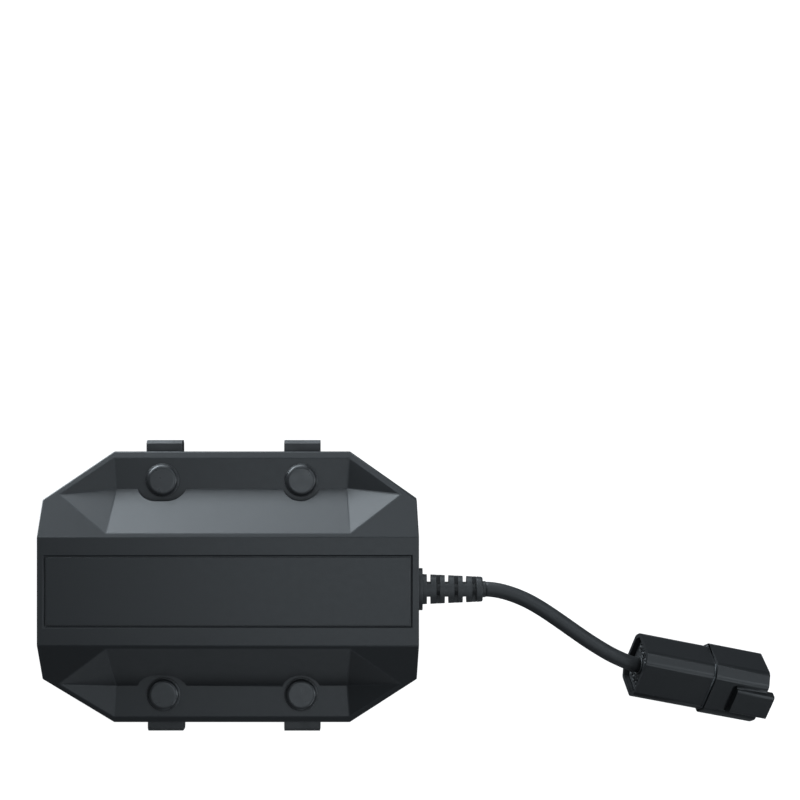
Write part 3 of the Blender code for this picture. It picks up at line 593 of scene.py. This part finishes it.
def tube(points, radius, sides=28):
    """Round bar with closed ends along the points."""
    shape = bmesh.new()
    rings = []
    side = Vector((0.0, 0.0, 1.0))
    for index, point in enumerate(points):
        before = points[max(index - 1, 0)]
        after = points[min(index + 1, len(points) - 1)]
        heading = (after - before).normalized()
        side = (side - heading * side.dot(heading)).normalized()
        other = heading.cross(side)
        ring = []
        for step in range(sides):
            angle = 2 * math.pi * step / sides
            ring.append(shape.verts.new(point + side * (radius * math.cos(angle))
                                        + other * (radius * math.sin(angle))))
        rings.append(ring)
    for low, high in zip(rings, rings[1:]):
        for step in range(sides):
            after = (step + 1) % sides
            shape.faces.new((low[step], low[after], high[after], high[step])).smooth = True
    shape.faces.new(rings[0])
    shape.faces.new(rings[-1])
    return shape


def smooth_route(route, spacing):
    """Even points, in metres, along a smooth curve through the route's points."""
    knots = [Vector(point) * MM for point in route]
    ends = [knots[0] * 2 - knots[1]] + knots + [knots[-1] * 2 - knots[-2]]
    dense = []
    for i in range(1, len(ends) - 2):
        p0, p1, p2, p3 = ends[i - 1:i + 3]
        for step in range(20):
            t = step / 20
            a = -p0 + 3 * p1 - 3 * p2 + p3
            b = 2 * p0 - 5 * p1 + 4 * p2 - p3
            dense.append(0.5 * (a * t ** 3 + b * t ** 2 + (p2 - p0) * t + 2 * p1))
    dense.append(knots[-1])
    lengths = [0.0]
    for before, after in zip(dense, dense[1:]):
        lengths.append(lengths[-1] + (after - before).length)
    count = max(2, round(lengths[-1] / spacing))
    points = []
    for step in range(count + 1):
        wanted = lengths[-1] * step / count
        i = max(j for j in range(len(lengths) - 1) if lengths[j] <= wanted)
        part = (wanted - lengths[i]) / (lengths[i + 1] - lengths[i])
        points.append(dense[i].lerp(dense[i + 1], min(part, 1.0)))
    return points


def make_cover():
    """Cover with long edges lightened a little by wear and a painted highlight, and fine unlightened
    ones round the four scoops.
    """
    shape = clean_copy("top_cover")
    edges = [edge for edge in shape.edges if is_real(edge)]
    long_edges = [edge for edge in edges if edge.calc_length() > CREASE_LENGTH]
    rounded(shape, long_edges, COVER_EDGE, 3, COVER_WEAR_AND_HIGHLIGHT)
    edges = [edge for edge in shape.edges if turn_of(edge) > SHARP_TURN]
    rounded(shape, edges, SCOOP_EDGE, 1, 0.0)
    return new_piece("top_cover_detail", shape, "top_cover")


def make_housing():
    make_cover()
    refined("base_tray", 0.4 * MM)
    refined("label_plate", 0.12 * MM, 2)


def make_cap(label):
    """Button over a barrel: a thin brim on the floor, a soft shoulder and a flat top."""
    node = "barrel_cap_" + label
    low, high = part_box(node)
    centre = ((low[0] + high[0]) / 2, (low[1] + high[1]) / 2, 0.0)
    brim_z = low[2] + BRIM_HEIGHT
    profile = [(0.0, low[2]), (BRIM_RADIUS, low[2])]
    profile += arc(BRIM_RADIUS - BRIM_EDGE, brim_z - BRIM_EDGE, BRIM_EDGE, 0, 90, 3)
    profile += arc(CAP_RADIUS + CAP_SHOULDER, brim_z + CAP_SHOULDER, CAP_SHOULDER, 270, 180, 3)
    profile += arc(CAP_RADIUS - CAP_EDGE, high[2] - CAP_EDGE, CAP_EDGE, 0, 90, 8)
    profile.append((0.0, high[2]))
    shape = lathe(profile)
    shape.transform(Matrix.Translation(centre))
    cap = new_piece(node + "_detail", shape, node)
    cap.data.materials[0] = FINISHES["cap_rubber"]


def make_fixings():
    for label in ("rear_left", "front_left", "rear_right", "front_right"):
        refined("clip_nut_" + label, 0.3 * MM)
        make_cap(label)


def boot_radius(x):
    """The boot tapers from its flange to its end."""
    part = (x - BOOT_X) / (BOOT_END_X - BOOT_X)
    return BOOT_RADIUS + (BOOT_END_RADIUS - BOOT_RADIUS) * part


def boot_web(start, half, axis):
    """Slice of the boot between two ribs, cut down to a plate of a half thickness."""
    reach = boot_radius(start) - WEB_INSET
    low = start - WEB_OVERLAP
    high = start + SLOT_WIDTH + WEB_OVERLAP
    web = lathe([(0.0, low), (reach, low), (reach, high), (0.0, high)], 96)
    for vert in web.verts:
        vert.co[axis] = max(-half, min(half, vert.co[axis]))
    bmesh.ops.remove_doubles(web, verts=web.verts, dist=0.001 * MM)
    for edge in web.edges:
        edge.smooth = turn_of(edge) < 35
    return web


def make_strain_relief():
    """Flange and boot: full ribs round a core, with upright and level webs between them in
    turn, which leaves slots at the sides and slots above and below."""
    shape = bmesh.new()
    flange = disc(WALL_X - 3 * MM, BOOT_X, FLANGE_RADIUS, FLANGE_RADIUS, FLANGE_EDGE)
    join(shape, lathe(flange))
    starts = []
    for pair in range(SLOT_PAIRS):
        side_slot = BOOT_X + SLOT_START + SLOT_PITCH * pair
        starts += [side_slot, side_slot + SLOT_STAGGER]
        join(shape, boot_web(side_slot, BOOT_CORE, 1))
        join(shape, boot_web(side_slot + SLOT_STAGGER, WEB_HALF, 0))
    lows = [BOOT_X - 0.5 * MM] + [start + SLOT_WIDTH for start in starts]
    for low, high in zip(lows, starts + [BOOT_END_X]):
        edge = BOOT_EDGE if high == BOOT_END_X else RIB_EDGE
        join(shape, lathe(disc(low, high, boot_radius(low), boot_radius(high), edge)))
    core_start = BOOT_X + SLOT_START / 2
    core_end = BOOT_END_X - SLOT_START / 2
    join(shape, lathe(disc(core_start, core_end, BOOT_CORE, BOOT_CORE, 0.1 * MM)))
    join(shape, lathe(disc(core_end, BOOT_LIP_X, BOOT_LIP_RADIUS, BOOT_LIP_RADIUS, 0.08 * MM)))
    turn = Matrix.Translation((0.0, 0.0, GLAND_Z)) @ Matrix.Rotation(math.pi / 2, 4, "Y")
    shape.transform(turn)
    boot = new_piece("strain_relief_detail", shape, "strain_relief")
    boot.data.materials[0] = FINISHES["boot_rubber"]
    return boot


def connector_matrix():
    place = Matrix.Translation(Vector(CONNECTOR_PLACE) * MM)
    yaw = Matrix.Rotation(math.radians(CONNECTOR_YAW), 4, "Z")
    tilt = Matrix.Rotation(math.radians(CONNECTOR_TILT), 4, "Y")
    roll = Matrix.Rotation(math.radians(CONNECTOR_ROLL), 4, "X")
    return place @ yaw @ tilt @ roll


def shell_loop(x, offset):
    """Points of the shell's octagonal outline at a distance along it."""
    half_w = REAR_WIDTH / 2 + offset
    half_n = REAR_HEIGHT / 2 + offset
    in_w = half_w - REAR_CHAMFER
    in_n = half_n - REAR_CHAMFER
    quarter = [(half_w, in_n), (in_w, half_n)]
    loop = quarter + [(-w, n) for w, n in reversed(quarter)]
    loop += [(-w, -n) for w, n in loop]
    return [Vector((x, w, n)) for w, n in loop]


def make_shell():
    """Shell with soft long corners, a rounder front, a soft catch and fine other edges; the catch and
    the fine edges are lightened as a painted highlight.
    """
    shape = clean_copy("connector_shell")
    local = connector_matrix().inverted()

    def real_edges(test):
        found = []
        for edge in shape.edges:
            ends = [local @ vert.co for vert in edge.verts]
            if turn_of(edge) > SHARP_TURN and test(*ends):
                found.append(edge)
        return found

    def outer(point):
        wide = abs(point.y) / (REAR_WIDTH / 2)
        tall = abs(point.z) / (REAR_HEIGHT / 2)
        return max(wide, tall) > 0.95

    def is_long_corner(a, b):
        along = abs(a.x - b.x) > 0.95 * (a - b).length
        return along and (a - b).length > LONG_CORNER and outer(a) and outer(b)

    def is_front(a, b):
        return min(a.x, b.x) > SHELL_LENGTH - 0.1 * MM and outer(a) and outer(b)

    def is_catch(a, b):
        return min(a.z, b.z) > REAR_HEIGHT / 2 + CATCH_RISE

    rounded(shape, real_edges(is_long_corner), SHELL_CORNER, 4, 0.0)
    rounded(shape, real_edges(is_front), FRONT_EDGE, 4, 0.0)
    # The catch's edges and the fine edges below carry the edge mark, which the shell plastic turns
    # into painted highlights
    rounded(shape, real_edges(is_catch), CATCH_EDGE, 3, CATCH_HIGHLIGHT)
    rounded(shape, real_edges(lambda a, b: (a - b).length > 0.5 * MM), SHELL_EDGE, 2)
    return new_piece("connector_shell_detail", shape, "connector_shell")


def make_bead():
    """Thin moulded bead round the rear shell where the collar starts, lightened all over as a painted
    highlight.
    """
    loop = shell_loop(SHELL_STEP - BEAD_SETBACK, -BEAD_SINK)
    shape = bmesh.new()
    for before, after in zip(loop, loop[1:] + loop[:1]):
        join(shape, tube([before, after], BEAD_RADIUS, 12))
    for point in loop:
        ball = bmesh.new()
        bmesh.ops.create_uvsphere(ball, u_segments=12, v_segments=8, radius=BEAD_RADIUS)
        join(shape, ball, Matrix.Translation(point))
    shape.transform(connector_matrix())
    # The whole bead is marked for lightening: a painted highlight line
    mark = shape.faces.layers.float.new(EDGE_MARK)
    for face in shape.faces:
        face[mark] = BEAD_HIGHLIGHT
    return new_piece("shell_bead", shape, "connector_shell")


def make_seal_details():
    """Lips round the seal's six cavities, their plugs, and the collar round the cable."""
    upright = Matrix.Rotation(math.pi / 2, 4, "Y")
    lips = bmesh.new()
    plugs = bmesh.new()
    outer = CAVITY_RADIUS + LIP_WIDTH
    lip = [(0.0, -LIP_ROOT), (outer, -LIP_ROOT)]
    lip += arc(outer - LIP_RADIUS, 0.0, LIP_RADIUS, 0, 180, 6)
    lip += [(outer - 2 * LIP_RADIUS, -LIP_WELL), (0.0, -LIP_WELL)]
    plug = [(0.0, -PLUG_ROOT), (PLUG_RADIUS, -PLUG_ROOT), (PLUG_RADIUS, 0.0)]
    plug += arc(0.0, 0.0, PLUG_RADIUS, 0, 90, 6)[1:-1] + [(0.0, PLUG_RADIUS)]
    facing = Matrix.Rotation(math.pi, 4, "X")
    for w in (-CONTACT_W, CONTACT_W):
        for n in (-CONTACT_N, 0.0, CONTACT_N):
            place = Matrix.Translation((SEAL_FACE, w, n)) @ upright @ facing
            join(lips, lathe(lip, 24), place)
            join(plugs, lathe(plug, 24), place)
    collar = [(0.0, -COLLAR_RISE), (COLLAR_RADIUS, -COLLAR_RISE), (COLLAR_RADIUS, 0.1 * MM)]
    collar += arc(COLLAR_RADIUS - COLLAR_EDGE, COLLAR_RISE - COLLAR_EDGE, COLLAR_EDGE, 0, 90, 4)
    collar.append((0.0, COLLAR_RISE))
    join(lips, lathe(collar, 40), Matrix.Translation((SEAL_FACE, 0.0, 0.0)) @ upright @ facing)
    pieces = []
    for name, shape in (("seal_lips", lips), ("seal_plugs", plugs)):
        shape.transform(connector_matrix())
        pieces.append(new_piece(name, shape, "rear_seal"))
    return pieces


def make_connector():
    """The shell, its seal, its wedge and what is moulded on them."""
    pieces = [make_shell()]
    pieces.append(refined("rear_seal", 0.3 * MM))
    pieces.append(refined("wedge_lock", 0.3 * MM))
    pieces.append(make_bead())
    return pieces + make_seal_details()


def make_cable():
    points = smooth_route(CABLE_ROUTE, 1.2 * MM)
    cable = new_piece("cable_jacket", tube(points, CABLE_DIAMETER / 2), "cable")


# ---------------------------------------------------------------- assembly

make_studio()
dress_cad_nodes()
make_housing()
make_fixings()
cord_pieces = [make_strain_relief()] + make_connector()
cord_pieces += [NODES["pin_%d" % number] for number in range(1, 7)]
make_cable()
